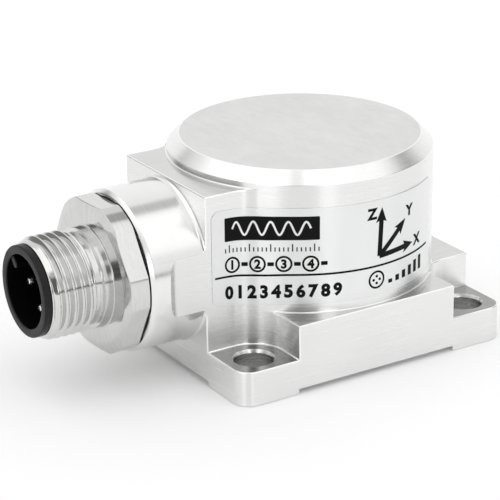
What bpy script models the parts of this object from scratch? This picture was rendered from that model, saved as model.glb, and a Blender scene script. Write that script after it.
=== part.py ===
"""Vibration sensor with an M12 connector.

Run:  blender --background --python part.py

Metres, +Z up.  The sensor stands on the four feet under its corner tabs.  The
connector points along -X and the label faces -Y.  The round body's axis is
parallel to Z and lies AXIS_X to the +X side of the origin, which is the middle
of the whole sensor's footprint.
"""
import math

import bmesh
import bpy
from mathutils import Matrix, Vector

for old in list(bpy.data.objects):
    bpy.data.objects.remove(old, do_unlink=True)

MM = 0.001

# ---------------------------------------------------------------- dimensions (mm)
AXIS_X = 9.17              # body axis from the middle of the footprint

BASE_X = 36.8              # base plate, along the connector
BASE_Y = 32.6              # base plate, across
BASE_CORNER_R = 2.1
TAB_TOP = 4.2              # height of the four screw tabs
PLATEAU_TOP = 8.35         # height of the cross-shaped middle of the base
RELIEF = 0.6               # the cross under the base is this much above the feet
BLOCK_TOP = 22.9           # connector block
CHAMFER_FOOT = 23.6        # where the body's big top chamfer starts
TOP = 25.0
BODY_R = 15.65
TOP_R = 14.2
BODY_STEPS = 88
ARM_HALF = 8.83            # half width of the connector block and of the side arms
TANGENT_STEPS = 10         # the pocket arcs touch the round body this many steps off X
EDGE = 0.2                 # broken edges
UPRIGHT_EDGE = 0.26        # broken upright edges of the arms

HOLE_X = 14.75             # screw holes
HOLE_Y = 12.8
HOLE_R = 2.25
HOLE_BREAK = 0.2
HOLE_BREAK_DEPTH = 0.4

CONN_Z = 12.9              # connector axis height
BOSS_R = 9.45
BOSS_END = -25.55
BOSS_BREAK = 0.4
BOSS_ROOT = 0.2
FLAT_END = -22.1           # the boss is milled flat from the block to here
FLAT_CUTTER_R = 1.5
BORE_R = 7.4
SEAL_SEAT_R = 8.92        # recess for the seal in the end of the boss
SEAL_SEAT = -25.25

CAVITY_R = 10.9
CAVITY_TOP = 22.6
SEAT_R = 15.0              # recess for the bottom cover
SEAT_Z = 2.4

COVER_R = 14.85
COVER_BOTTOM = 0.7
COVER_TOP = 2.0
COVER_SCREW_RADIUS = 13.0
POST_RADIUS = 8.0
POST_R = 1.7
POST_TOP = 5.0

BOARD_R = 10.3
BOARD_BOTTOM = 5.1
BOARD_TOP = 6.1
PART_Z = 6.18              # underside of what is soldered on the board

THREAD_R = 5.9             # M12 x 1
SHELL_FRONT = -35.85
THREAD_END = -29.85
RING_R = 5.92
FLANGE_FRONT = -28.4
FLANGE_BACK = -25.7
FLANGE_R = 9.1
FLANGE_FACE_R = 7.9
FLANGE_FLAT = 8.6          # half the width across flats
FLANGE_TURN = 27.3         # degrees, first flat's direction from +Y towards +Z
SHANK_R = 7.2
SHANK_END = -17.2
SHELL_BORE_R = 4.95

INSERT_FRONT = -36.74
INSERT_RIM_R = 5.28
INSERT_R = 4.85
SOCKET_R = 4.27
SOCKET_FLOOR = -27.7
INSERT_BACK = -23.7
KEY_ANGLE = 48.0
KEY_INNER = 2.9
KEY_WIDTH = 0.8

PIN_CIRCLE = 2.5
PIN_R = 0.5
PIN_TIP = -34.9
PIN_ANGLES = (0.0, 90.0, 180.0, 270.0)
CUP_START = -23.45
CUP_END = -21.2
CUP_R = 0.75

LABEL_GAP = 0.06
LABEL_THICK = 0.14
LABEL_LEFT = -17.65
LABEL_END_ANGLE = 310.0
LABEL_LOW = 9.45
LABEL_HIGH = 20.95
LABEL_CORNER = 1.0

# ---------------------------------------------------------------- collections
scene = bpy.context.scene
PARTS = bpy.data.collections.new("vibration_sensor")
TOOLS = bpy.data.collections.new("cutters")
scene.collection.children.link(PARTS)
scene.collection.children.link(TOOLS)

root = bpy.data.objects.new("sensor_origin", None)
root.location = (AXIS_X * MM, 0.0, 0.0)
PARTS.objects.link(root)


# ---------------------------------------------------------------- materials
def material(name, colour, roughness, metallic):
    m = bpy.data.materials.new(name)
    m.use_nodes = True
    b = m.node_tree.nodes["Principled BSDF"]
    b.inputs["Base Color"].default_value = (*colour, 1.0)
    b.inputs["Roughness"].default_value = roughness
    b.inputs["Metallic"].default_value = metallic
    return m


# ---------------------------------------------------------------- helpers
def place(obj, tool=False):
    """Link obj under the sensor's own axis, as a part or as a cutter."""
    (TOOLS if tool else PARTS).objects.link(obj)
    obj.parent = root
    if tool:
        obj.hide_render = True
        obj.display_type = "WIRE"
    return obj


def smooth(mesh, angle=35.0):
    mesh.shade_smooth()
    mesh.set_sharp_from_angle(angle=math.radians(angle))


def evaluated_mesh(obj, name):
    """The mesh that obj shows with its modifiers, welded."""
    bpy.context.view_layer.update()
    graph = bpy.context.evaluated_depsgraph_get()
    mesh = bpy.data.meshes.new_from_object(obj.evaluated_get(graph))
    mesh.name = name
    bm = bmesh.new()
    bm.from_mesh(mesh)
    bmesh.ops.remove_doubles(bm, verts=bm.verts, dist=1e-7)
    bm.to_mesh(mesh)
    bm.free()
    return mesh


def prism(name, loops, z0, z1, edge=0.0, tool=False):
    """A flat outline, drawn as a filled curve, with thickness z0..z1 and broken rims."""
    curve = bpy.data.curves.new(name + "_outline", "CURVE")
    curve.dimensions = "2D"
    curve.fill_mode = "BOTH"
    curve.extrude = ((z1 - z0) / 2 - edge) * MM
    curve.bevel_depth = edge * MM
    curve.bevel_resolution = 0
    curve.offset = -edge * MM
    for loop in loops:
        spline = curve.splines.new("POLY")
        spline.points.add(len(loop) - 1)
        for p, (x, y) in zip(spline.points, loop):
            p.co = (x * MM, y * MM, 0.0, 1.0)
        spline.use_cyclic_u = True
    guide = bpy.data.objects.new(name + "_outline", curve)
    TOOLS.objects.link(guide)
    mesh = evaluated_mesh(guide, name)
    bpy.data.objects.remove(guide)
    bpy.data.curves.remove(curve)
    mesh.transform(Matrix.Translation((0, 0, (z0 + z1) / 2 * MM)))
    return place(bpy.data.objects.new(name, mesh), tool)


def turned(name, profile, steps, tool=False, along_x=False, centre=(0.0, 0.0, 0.0), closed=False, start=0.0):
    """A turned solid.  profile is (radius, height) from the top down the outer side.

    along_x turns it about an axis parallel to X, where height h lies at x = -h.
    closed joins the profile's last point to its first, for a ring.  start turns the
    first row of points by that many degrees."""
    mesh = bpy.data.meshes.new(name + "_profile")
    n = len(profile)
    edges = [(i, i + 1) for i in range(n - 1)] + ([(n - 1, 0)] if closed else [])
    mesh.from_pydata([(r * MM, 0.0, h * MM) for r, h in profile], edges, [])
    guide = bpy.data.objects.new(name + "_profile", mesh)
    TOOLS.objects.link(guide)
    screw = guide.modifiers.new("turn", "SCREW")
    screw.axis = "Z"
    screw.angle = 2 * math.pi
    screw.steps = steps
    screw.render_steps = steps
    screw.use_merge_vertices = True
    screw.merge_threshold = 1e-6
    screw.use_normal_calculate = False
    solid = evaluated_mesh(guide, name)
    bpy.data.objects.remove(guide)
    bpy.data.meshes.remove(mesh)
    solid.transform(Matrix.Rotation(math.radians(start), 4, "Z"))
    if along_x:
        solid.transform(Matrix(((0, 0, -1, 0), (0, 1, 0, 0), (1, 0, 0, 0), (0, 0, 0, 1))))
    solid.transform(Matrix.Translation(Vector(centre) * MM))
    smooth(solid)
    return place(bpy.data.objects.new(name, solid), tool)


def box(name, low, high, edge=0.0, tool=False):
    """A rectangular block between two corners."""
    mesh = bpy.data.meshes.new(name)
    bm = bmesh.new()
    bmesh.ops.create_cube(bm, size=1.0)
    size = [(b - a) * MM for a, b in zip(low, high)]
    mid = [(b + a) / 2 * MM for a, b in zip(low, high)]
    bmesh.ops.scale(bm, vec=size, verts=bm.verts)
    bm.to_mesh(mesh)
    bm.free()
    obj = place(bpy.data.objects.new(name, mesh), tool)
    obj.location = mid
    if edge:
        bevel = obj.modifiers.new("edges", "BEVEL")
        bevel.width = edge * MM
        bevel.segments = 1
    return obj


def combine(target, other, operation):
    m = target.modifiers.new(f"{operation.lower()}_{other.name}", "BOOLEAN")
    m.operation = operation
    m.solver = "EXACT"
    m.object = other
    return m


def arc(cx, cy, r, a0, a1, n):
    return [(cx + r * math.cos(math.radians(a0 + (a1 - a0) * i / n)),
             cy + r * math.sin(math.radians(a0 + (a1 - a0) * i / n))) for i in range(n + 1)]


def paint(obj, mat):
    obj.data.materials.clear()
    obj.data.materials.append(mat)
    return obj


# ---------------------------------------------------------------- derived outline points
TANGENT = TANGENT_STEPS * 360.0 / BODY_STEPS
SIN_T, COS_T = math.sin(math.radians(TANGENT)), math.cos(math.radians(TANGENT))
POCKET_R = (BODY_R * SIN_T - ARM_HALF) / (1 - SIN_T)      # arc that touches the arm's side and the body
POCKET_CX = (BODY_R + POCKET_R) * COS_T
POCKET_CY = ARM_HALF + POCKET_R
FRONT_HALF = POCKET_CX - POCKET_R                          # half width of the front and back arms
HALF_X, HALF_Y = BASE_X / 2, BASE_Y / 2
BODY_STEP = 360.0 / BODY_STEPS
FACET_R = BODY_R * math.cos(math.radians(BODY_STEP / 2))   # middle of a side of the round body


def pocket_arc(contact=FACET_R - 0.02):
    """Concave pocket arc in the -X, -Y corner, from the side arm to the front arm.

    Its middle point touches the round body, at the given radius from the body's axis."""
    first = [90.0 + (TANGENT - 90.0) * i / 7 for i in range(7)]      # angles from the arc's centre
    second = [TANGENT * (1 - i / 7) for i in range(1, 8)]
    points = [(-POCKET_CX + POCKET_R * math.cos(math.radians(a)),
               -POCKET_CY + POCKET_R * math.sin(math.radians(a))) for a in first + second]
    return points[:7] + [(-contact * COS_T, -contact * SIN_T)] + points[7:]


def pocket_outline(sx, sy, contact):
    """What is milled away over one screw tab, with the arms' upright edges broken."""
    reach = 0.6
    cut = UPRIGHT_EDGE
    loop = [(-HALF_X - reach, -ARM_HALF + reach + cut), (-HALF_X + cut, -ARM_HALF)] + pocket_arc(contact) \
        + [(-FRONT_HALF, -HALF_Y + cut), (-FRONT_HALF + cut + reach, -HALF_Y - reach), (-HALF_X - 3.0, -HALF_Y - 3.0)]
    loop = [(-sx * x, -sy * y) for x, y in loop]
    return loop if sx * sy > 0 else loop[::-1]


def rounded_rect(hx, hy, r, n=7, between=False):
    """A rectangle with round corners.  between puts the corners' points half a step off."""
    if between:
        half = 45.0 / n
        r2 = r / math.cos(math.radians(half))
        return [p for cx, cy, a in ((-hx + r, -hy + r, 180), (hx - r, -hy + r, 270), (hx - r, hy - r, 0),
                                    (-hx + r, hy - r, 90)) for p in arc(cx, cy, r2, a + half, a + 90 - half, n - 1)]
    return arc(-hx + r, -hy + r, r, 180, 270, n) + arc(hx - r, -hy + r, r, 270, 360, n) \
        + arc(hx - r, hy - r, r, 0, 90, n) + arc(-hx + r, hy - r, r, 90, 180, n)


# ---------------------------------------------------------------- materials
M_BODY = material("machined_aluminium", (0.72, 0.73, 0.74), 0.32, 1.0)
M_PLATED = material("nickel_plated", (0.78, 0.77, 0.75), 0.18, 1.0)
M_RUBBER = material("black_rubber", (0.015, 0.015, 0.016), 0.62, 0.0)
M_PLASTIC = material("black_plastic", (0.02, 0.02, 0.022), 0.42, 0.0)
M_FILM = material("label_film", (0.78, 0.81, 0.83), 0.38, 0.0)
M_STEEL = material("stainless_steel", (0.62, 0.62, 0.61), 0.28, 1.0)
M_BOARD = material("circuit_board_green", (0.03, 0.16, 0.07), 0.45, 0.0)
M_CHIP = material("chip_black", (0.03, 0.03, 0.032), 0.5, 0.0)
M_CERAMIC = material("ceramic_tan", (0.45, 0.33, 0.22), 0.5, 0.0)
M_HEADER = material("header_plastic", (0.75, 0.73, 0.68), 0.5, 0.0)
M_WIRES = [material("wire_" + n, c, 0.45, 0.0) for n, c in
           (("brown", (0.16, 0.07, 0.03)), ("white", (0.8, 0.8, 0.78)),
            ("blue", (0.03, 0.1, 0.45)), ("black", (0.02, 0.02, 0.02)))]

# ---------------------------------------------------------------- housing
REACH = 0.5                # stock outside the base's sides, trimmed off flush afterwards
housing = paint(prism("housing", [rounded_rect(HALF_X + REACH, HALF_Y + REACH, BASE_CORNER_R + REACH, between=True)],
                      -1.0, TAB_TOP, REACH + EDGE), M_BODY)

upper = box("upper_stock", (-HALF_X - REACH, -HALF_Y - REACH, 1.2), (HALF_X + REACH, HALF_Y + REACH, PLATEAU_TOP),
            tool=True)
lean = math.radians(TANGENT + 0.3)
block_loop = [(-HALF_X - REACH, -14.5), (-20.5 * math.cos(lean), -20.5 * math.sin(lean)),
              (-2.0 * math.cos(lean), -2.0 * math.sin(lean))]
block_loop = block_loop + [(x, -y) for x, y in reversed(block_loop)]
block = prism("connector_block", [block_loop], 2.0, BLOCK_TOP, tool=True)
combine(upper, block, "UNION")
body = turned("round_body", [(0.0, TOP), (TOP_R, TOP), (BODY_R, CHAMFER_FOOT), (BODY_R, 1.6), (0.0, 1.6)],
              BODY_STEPS, tool=True, start=BODY_STEP / 2)
combine(upper, body, "UNION")
for i, (sx, sy) in enumerate(((-1, -1), (1, -1), (1, 1), (-1, 1)), 1):
    # on the connector's side the pockets also shape the block and its fillets to the round body
    left = sx < 0
    pocket = prism(f"tab_pocket_{i}", [pocket_outline(sx, sy, FACET_R - 0.02 if left else BODY_R)],
                   0.5, TOP + 1.0 if left else PLATEAU_TOP + 0.5, tool=True)
    combine(upper, pocket, "DIFFERENCE")
combine(housing, upper, "UNION")

sides = prism("side_trim", [rounded_rect(HALF_X, HALF_Y, BASE_CORNER_R)], 0.0, TOP + 2.0, EDGE, tool=True)
combine(housing, sides, "INTERSECT")

boss = turned("connector_boss", [
    (0.0, -BOSS_END), (BOSS_R - BOSS_BREAK, -BOSS_END), (BOSS_R, -BOSS_END - BOSS_BREAK),
    (BOSS_R, HALF_X + BOSS_ROOT), (BOSS_R + BOSS_ROOT + 0.3, HALF_X - 0.3), (0.0, HALF_X - 1.0)],
    72, tool=True, along_x=True, centre=(0.0, 0.0, CONN_Z))
for side in (-1, 1):
    y_in, y_out = ARM_HALF, BOSS_R + 2.0
    corner = arc(FLAT_END, ARM_HALF + FLAT_CUTTER_R, FLAT_CUTTER_R, 270, 180, 6)
    loop = [(-HALF_X + 2.0, y_in)] + corner + [(FLAT_END - FLAT_CUTTER_R, y_out), (-HALF_X + 2.0, y_out)]
    if side < 0:
        loop = [(x, -y) for x, y in reversed(loop)]
    flat = prism("flat_cutter_" + ("front" if side < 0 else "back"), [loop], CONN_Z - 11.0, CONN_Z + 11.0, tool=True)
    combine(boss, flat, "DIFFERENCE")
combine(housing, boss, "UNION")

relief = box("relief_cutter", (-HALF_X - 3.0, -HALF_Y - 3.0, -2.0), (HALF_X + 3.0, HALF_Y + 3.0, RELIEF), tool=True)
for i, (sx, sy) in enumerate(((-1, -1), (1, -1), (1, 1), (-1, 1)), 1):
    foot = prism(f"foot_stock_{i}", [[(x + (x > HALF_X) * 3 - (x < -HALF_X) * 3, y + (y > HALF_Y) * 3 - (y < -HALF_Y) * 3)
                                      for x, y in pocket_outline(sx, sy, BODY_R)]], -4.0, RELIEF + 1.0, tool=True)
    combine(relief, foot, "DIFFERENCE")
combine(housing, relief, "DIFFERENCE")

for i, (sx, sy) in enumerate(((-1, -1), (1, -1), (1, 1), (-1, 1)), 1):
    hole = turned(f"screw_hole_{i}", [
        (0.0, TAB_TOP + HOLE_BREAK_DEPTH), (HOLE_R + 2 * HOLE_BREAK, TAB_TOP + HOLE_BREAK_DEPTH),
        (HOLE_R, TAB_TOP - HOLE_BREAK_DEPTH), (HOLE_R, HOLE_BREAK), (HOLE_R + HOLE_BREAK + 0.5, -0.5), (0.0, -0.5)],
        32, tool=True, centre=(sx * HOLE_X, sy * HOLE_Y, 0.0))
    combine(housing, hole, "DIFFERENCE")

cavity = turned("cavity_cutter", [
    (0.0, CAVITY_TOP), (CAVITY_R - 0.6, CAVITY_TOP), (CAVITY_R, CAVITY_TOP - 0.6), (CAVITY_R, SEAT_Z),
    (SEAT_R, SEAT_Z), (SEAT_R, -1.0), (0.0, -1.0)], 64, tool=True)
combine(housing, cavity, "DIFFERENCE")
bore = turned("bore_cutter", [(0.0, 27.5), (SEAL_SEAT_R, 27.5), (SEAL_SEAT_R, -SEAL_SEAT), (BORE_R, -SEAL_SEAT),
                              (BORE_R, 8.0), (0.0, 8.0)],
              48, tool=True, along_x=True, centre=(0.0, 0.0, CONN_Z), start=3.75)
combine(housing, bore, "DIFFERENCE")

COVER_SCREWS = [(COVER_SCREW_RADIUS * math.cos(math.radians(a)), COVER_SCREW_RADIUS * math.sin(math.radians(a)))
                for a in (45, 135, 225, 315)]
for i, (x, y) in enumerate(COVER_SCREWS, 1):
    pilot = turned(f"cover_screw_pilot_{i}", [(0.0, 6.4), (0.85, 6.0), (0.85, 1.4), (0.0, 1.4)], 20, tool=True,
                   centre=(x, y, 0.0))
    combine(housing, pilot, "DIFFERENCE")

# ---------------------------------------------------------------- bottom cover, its gasket and screws
POSTS = [(POST_RADIUS * math.cos(math.radians(a)), POST_RADIUS * math.sin(math.radians(a))) for a in (60, 180, 300)]

cover = paint(turned("bottom_cover", [
    (0.0, COVER_TOP), (COVER_R, COVER_TOP), (COVER_R, COVER_BOTTOM + 0.15), (COVER_R - 0.15, COVER_BOTTOM),
    (0.0, COVER_BOTTOM)], 60), M_BODY)
for i, (x, y) in enumerate(POSTS, 1):
    post = turned(f"board_post_{i}", [
        (0.0, POST_TOP), (POST_R - 0.15, POST_TOP), (POST_R, POST_TOP - 0.15), (POST_R, COVER_TOP - 0.6),
        (0.0, COVER_TOP - 0.6)], 18, tool=True, centre=(x, y, 0.0))
    combine(cover, post, "UNION")
for i, (x, y) in enumerate(POSTS, 1):
    pilot = turned(f"post_pilot_{i}", [(0.0, POST_TOP + 1.0), (0.85, POST_TOP + 1.0), (0.85, 1.9), (0.0, 1.5)],
                   14, tool=True, centre=(x, y, 0.0))
    combine(cover, pilot, "DIFFERENCE")
for i, (x, y) in enumerate(COVER_SCREWS, 1):
    sink = turned(f"countersink_{i}", [(0.0, COVER_TOP + 0.5), (0.9, COVER_TOP + 0.5), (0.9, COVER_BOTTOM + 0.85),
                                       (1.6, COVER_BOTTOM + 0.15), (1.6, COVER_BOTTOM - 0.5), (0.0, COVER_BOTTOM - 0.5)],
                  16, tool=True, centre=(x, y, 0.0))
    combine(cover, sink, "DIFFERENCE")

gasket = paint(turned("cover_gasket", [
    (11.05, 2.34), (12.05, 2.34), (12.05, 2.06), (11.05, 2.06)], 48, closed=True), M_RUBBER)

for i, (x, y) in enumerate(COVER_SCREWS, 1):
    screw = paint(turned(f"cover_screw_{i}", [
        (0.0, 5.7), (0.45, 5.7), (0.75, 5.4), (0.75, COVER_BOTTOM + 0.85), (1.5, COVER_BOTTOM + 0.12),
        (1.5, COVER_BOTTOM + 0.04), (0.0, COVER_BOTTOM + 0.04)], 16, centre=(x, y, 0.0)), M_STEEL)
    for k in range(2):
        slot = box(f"cover_screw_{i}_slot_{k + 1}",
                   (-0.85, -0.16, -0.5) if k == 0 else (-0.16, -0.85, -0.5),
                   (0.85, 0.16, 0.5) if k == 0 else (0.16, 0.85, 0.5), tool=True)
        slot.location = (x * MM, y * MM, (COVER_BOTTOM + 0.04) * MM)
        combine(screw, slot, "DIFFERENCE")

# ---------------------------------------------------------------- label
def crossing(p, q, r, s):
    """Where line p-q meets line r-s."""
    d1, d2 = Vector(q) - Vector(p), Vector(s) - Vector(r)
    gap = Vector(r) - Vector(p)
    t = (gap.x * d2.y - gap.y * d2.x) / (d1.x * d2.y - d1.y * d2.x)
    return tuple(Vector(p) + d1 * t)


def body_point(angle):
    return BODY_R * math.cos(math.radians(angle)), BODY_R * math.sin(math.radians(angle))


def label_path():
    """Points on the housing's face from the label's left edge to its right edge."""
    arc_pts = pocket_arc()[:8]
    first = 180.0 + TANGENT + BODY_STEP / 2
    meet = crossing(arc_pts[6], arc_pts[7], body_point(first - BODY_STEP), body_point(first))
    out = [(LABEL_LEFT, -ARM_HALF)] + arc_pts[:7] + [meet]
    a = first
    while a < LABEL_END_ANGLE - 1e-6:
        out.append(body_point(a))
        a += BODY_STEP
    share = (LABEL_END_ANGLE - (a - BODY_STEP)) / BODY_STEP
    nxt, last = body_point(a), out[-1]
    out.append((last[0] + (nxt[0] - last[0]) * share, last[1] + (nxt[1] - last[1]) * share))
    return out


def with_stations(path, where):
    """path with extra points at the given distances from its start."""
    out, run = [path[0]], 0.0
    where = sorted(where)
    for p, q in zip(path, path[1:]):
        d = math.dist(p, q)
        for w in where:
            if run + 1e-6 < w < run + d - 1e-6:
                t = (w - run) / d
                out.append((p[0] + (q[0] - p[0]) * t, p[1] + (q[1] - p[1]) * t))
        out.append(q)
        run += d
    return out


path = label_path()
length = sum(math.dist(p, q) for p, q in zip(path, path[1:]))
ends = [LABEL_CORNER * (1 - math.cos(math.radians(a))) for a in (22.5, 45.0, 67.5, 90.0)]
path = with_stations(path, ends + [length - e for e in ends])
stations, run = [0.0], 0.0
for p, q in zip(path, path[1:]):
    run += math.dist(p, q)
    stations.append(run)


def offset_path(points, distance):
    """points moved to the right-hand (outer) side by distance, mitred at each corner."""
    out = []
    for i, p in enumerate(points):
        dirs = []
        if i > 0:
            dirs.append(Vector((p[0] - points[i - 1][0], p[1] - points[i - 1][1])).normalized())
        if i < len(points) - 1:
            dirs.append(Vector((points[i + 1][0] - p[0], points[i + 1][1] - p[1])).normalized())
        normals = [Vector((d.y, -d.x)) for d in dirs]
        n = sum(normals, Vector((0.0, 0.0))).normalized()
        scale = distance / max(0.5, n.dot(normals[0]))
        out.append((p[0] + n.x * scale, p[1] + n.y * scale))
    return out


def corner_drop(u):
    """How far the label's rounded corners pull its top and bottom edges in, at distance u along it."""
    d = min(u, length - u)
    if d >= LABEL_CORNER:
        return 0.0
    return LABEL_CORNER - math.sqrt(max(0.0, LABEL_CORNER ** 2 - (LABEL_CORNER - d) ** 2))


mesh = bpy.data.meshes.new("label")
bm = bmesh.new()
columns = []
for (x, y), u in zip(offset_path(path, LABEL_GAP), stations):
    drop = min(corner_drop(u), LABEL_CORNER)
    columns.append([bm.verts.new((x * MM, y * MM, z * MM)) for z in (LABEL_LOW + drop, LABEL_HIGH - drop)])
for a, b in zip(columns, columns[1:]):
    bm.faces.new((a[0], b[0], b[1], a[1]))
bm.to_mesh(mesh)
bm.free()
label = paint(place(bpy.data.objects.new("label", mesh)), M_FILM)
thick = label.modifiers.new("film", "SOLIDIFY")
thick.thickness = LABEL_THICK * MM
thick.offset = 1.0
thick.use_even_offset = True

# ---------------------------------------------------------------- connector
AXIS = (0.0, 0.0, CONN_Z)


def at(*points):
    """Profile points given as (radius, x) turned into (radius, height) for a solid along X."""
    return [(r, -x) for r, x in points]


shell = paint(turned("connector_shell", at(
    (SHELL_BORE_R, SHELL_FRONT), (THREAD_R - 0.55, SHELL_FRONT), (THREAD_R, SHELL_FRONT + 0.6),
    (THREAD_R, THREAD_END), (THREAD_R - 0.35, THREAD_END + 0.1), (THREAD_R - 0.35, THREAD_END + 0.25),
    (RING_R, THREAD_END + 0.3), (RING_R, FLANGE_FRONT), (FLANGE_FACE_R, FLANGE_FRONT), (FLANGE_R, FLANGE_FRONT + 0.34),
    (FLANGE_R, FLANGE_BACK), (SHANK_R, FLANGE_BACK), (SHANK_R, SHANK_END - 0.3), (SHANK_R - 0.3, SHANK_END),
    (5.6, SHANK_END), (5.6, -23.3), (SHELL_BORE_R, -23.3)),
    64, along_x=True, centre=AXIS, closed=True), M_PLATED)

corner_r = FLANGE_FLAT / math.cos(math.radians(30))
hexagon = bpy.data.meshes.new("flange_hexagon")
bm = bmesh.new()
bmesh.ops.create_cone(bm, cap_ends=True, segments=6, radius1=corner_r * MM, radius2=corner_r * MM, depth=24 * MM)
bm.to_mesh(hexagon)
bm.free()
# six sides about the connector axis, a flat facing FLANGE_TURN degrees from +Y towards +Z
hexagon.transform(Matrix.Rotation(math.radians(90), 4, "Y"))
first = max((f for f in hexagon.polygons if abs(f.normal.x) < 0.5), key=lambda f: f.normal.y)
lean = math.atan2(first.normal.z, first.normal.y)
hexagon.transform(Matrix.Rotation(math.radians(FLANGE_TURN) - lean, 4, "X"))
hexagon.transform(Matrix.Translation((-27.5 * MM, 0.0, CONN_Z * MM)))
hex_obj = place(bpy.data.objects.new("flange_hexagon", hexagon), tool=True)
combine(shell, hex_obj, "INTERSECT")

seal = paint(turned("connector_seal", at(
    (7.45, -25.68), (8.9, -25.68), (8.9, -25.28), (7.45, -25.28)),
    64, along_x=True, centre=AXIS, closed=True), M_RUBBER)

insert = paint(turned("connector_insert", at(
    (0.0, SOCKET_FLOOR), (SOCKET_R, SOCKET_FLOOR), (SOCKET_R, INSERT_FRONT + 0.1), (SOCKET_R + 0.1, INSERT_FRONT),
    (INSERT_RIM_R - 0.12, INSERT_FRONT), (INSERT_RIM_R, INSERT_FRONT + 0.12), (INSERT_RIM_R, SHELL_FRONT - 0.06),
    (INSERT_R, SHELL_FRONT - 0.06), (INSERT_R, INSERT_BACK), (0.0, INSERT_BACK)),
    48, along_x=True, centre=AXIS, start=180.0 / 48), M_PLASTIC)


def around(angle, radius):
    a = math.radians(angle)
    return radius * math.cos(a), CONN_Z + radius * math.sin(a)


# the coding rib: a bar along the socket with a round inner edge
rib_len = SOCKET_FLOOR - 0.3 + 1.0 - (INSERT_FRONT + 0.15)
rib_loop = [(SOCKET_R + 0.25, -KEY_WIDTH / 2), (SOCKET_R + 0.25, KEY_WIDTH / 2)] \
    + arc(KEY_INNER + KEY_WIDTH / 2, 0.0, KEY_WIDTH / 2, 90, 270, 8)
rib = prism("coding_rib", [rib_loop], INSERT_FRONT + 0.15, SOCKET_FLOOR + 0.5, tool=True)
# the outline was drawn across X and extruded along Z: stand it along the connector axis
rib.data.transform(Matrix(((0, 0, 1, 0), (1, 0, 0, 0), (0, 1, 0, 0), (0, 0, 0, 1))))
rib.data.transform(Matrix.Rotation(math.radians(KEY_ANGLE), 4, "X"))
rib.data.transform(Matrix.Translation((0.0, 0.0, CONN_Z * MM)))
combine(insert, rib, "UNION")
for i, a in enumerate(PIN_ANGLES, 1):
    y, z = around(a, PIN_CIRCLE)
    way = turned(f"pin_way_{i}", at((0.0, SOCKET_FLOOR - 1.0), (0.58, SOCKET_FLOOR - 1.0), (0.58, INSERT_BACK + 1.0),
                                    (0.0, INSERT_BACK + 1.0)), 16, tool=True, along_x=True, centre=(0.0, y, z))
    combine(insert, way, "DIFFERENCE")

for i, a in enumerate(PIN_ANGLES, 1):
    y, z = around(a, PIN_CIRCLE)
    paint(turned(f"contact_pin_{i}", at(
        (0.0, PIN_TIP), (0.26, PIN_TIP + 0.04), (0.43, PIN_TIP + 0.18), (PIN_R, PIN_TIP + 0.42), (PIN_R, CUP_START),
        (CUP_R, CUP_START), (CUP_R, CUP_END), (0.48, CUP_END), (0.48, CUP_START + 0.5), (0.0, CUP_START + 0.5)),
        16, along_x=True, centre=(0.0, y, z)), M_PLATED)

# ---------------------------------------------------------------- circuit board
board = paint(turned("circuit_board", [(0.0, BOARD_TOP), (BOARD_R, BOARD_TOP), (BOARD_R, BOARD_BOTTOM),
                                       (0.0, BOARD_BOTTOM)], 48), M_BOARD)
for i, (x, y) in enumerate(POSTS, 1):
    way = turned(f"board_hole_{i}", [(0.0, 7.0), (0.95, 7.0), (0.95, 4.0), (0.0, 4.0)], 14, tool=True,
                 centre=(x, y, 0.0))
    combine(board, way, "DIFFERENCE")
    screw = paint(turned(f"board_screw_{i}", [
        (0.0, BOARD_TOP + 1.0), (1.1, BOARD_TOP + 1.0), (1.4, BOARD_TOP + 0.7), (1.4, BOARD_TOP + 0.06),
        (0.75, BOARD_TOP + 0.06), (0.75, 2.9), (0.4, 2.5), (0.0, 2.5)], 16, centre=(x, y, 0.0)), M_STEEL)
    slot = box(f"board_screw_{i}_slot", (-1.6, -0.17, -0.45), (1.6, 0.17, 0.45), tool=True)
    slot.location = (x * MM, y * MM, (BOARD_TOP + 1.0) * MM)
    combine(screw, slot, "DIFFERENCE")


def chip(name, cx, cy, sx, sy, h, mat, edge=0.12):
    return paint(box(name, (cx - sx / 2, cy - sy / 2, PART_Z), (cx + sx / 2, cy + sy / 2, PART_Z + h), edge), mat)


chip("accelerometer", 0.3, 0.0, 3.0, 3.0, 0.95, M_CHIP)
chip("microcontroller", 5.2, 0.0, 5.0, 5.0, 0.85, M_CHIP)
chip("line_transceiver", 0.2, 5.4, 4.0, 4.0, 0.8, M_CHIP)
chip("voltage_regulator", -0.2, -4.2, 3.0, 2.6, 1.0, M_CHIP)
chip("power_inductor", -0.2, -7.6, 3.0, 3.0, 1.5, M_CHIP, 0.3)
chip("surge_diode", -5.2, 5.4, 2.2, 1.4, 1.0, M_CHIP)
chip("capacitor_1", 3.9, 3.9, 1.6, 0.8, 0.8, M_CERAMIC, 0.08)
chip("capacitor_2", 2.5, -4.0, 1.6, 0.8, 0.8, M_CERAMIC, 0.08)
chip("capacitor_3", -5.2, -5.4, 3.2, 1.6, 1.4, M_CERAMIC, 0.1)

# ---------------------------------------------------------------- wire header, its plug and the four wires
HX = -3.9
header = paint(box("board_header", (HX - 1.6, -3.7, PART_Z), (HX + 1.6, 3.7, PART_Z + 2.4)), M_HEADER)
pocket = box("header_pocket", (HX - 1.1, -3.2, PART_Z + 0.5), (HX + 1.1, 3.2, PART_Z + 4.0), tool=True)
combine(header, pocket, "DIFFERENCE")
plug = paint(box("wire_plug", (HX - 1.0, -3.1, PART_Z + 0.6), (HX + 1.0, 3.1, PART_Z + 3.2), 0.15), M_HEADER)
WIRE_Y = (2.25, 0.75, -2.25, -0.75)
for i, y in enumerate(WIRE_Y, 1):
    way = turned(f"plug_way_{i}", [(0.0, PART_Z + 5.0), (0.45, PART_Z + 5.0), (0.45, PART_Z + 1.6), (0.0, PART_Z + 1.6)],
                 12, tool=True, centre=(HX, y, 0.0))
    combine(plug, way, "DIFFERENCE")


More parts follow.
